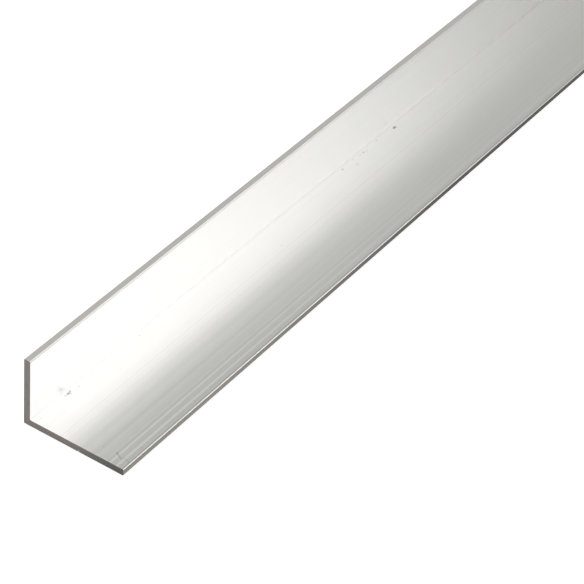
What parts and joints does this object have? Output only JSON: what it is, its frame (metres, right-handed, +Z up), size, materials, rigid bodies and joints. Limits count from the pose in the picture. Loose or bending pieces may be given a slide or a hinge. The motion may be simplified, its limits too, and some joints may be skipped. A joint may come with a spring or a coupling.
{
  "type": "metal angle section",
  "caption": "Extruded aluminium angle with unequal legs, lying on its wide leg with the narrow leg upright, sawn square at both ends.",
  "frame": {"origin": "middle of the footprint, on the surface that the wide leg lies on", "axes": "+X along the bar, +Y across the wide leg towards the heel and the upright leg, +Z up"},
  "size_m": [1, 0.0762, 0.0508],
  "materials": {
    "mill_aluminium": "mill finish as extruded, satin with fine lines along the bar; sawn ends duller"
  },
  "bodies": {
    "root": {"angle_section": "mill_aluminium"}
  },
  "joints": []
}
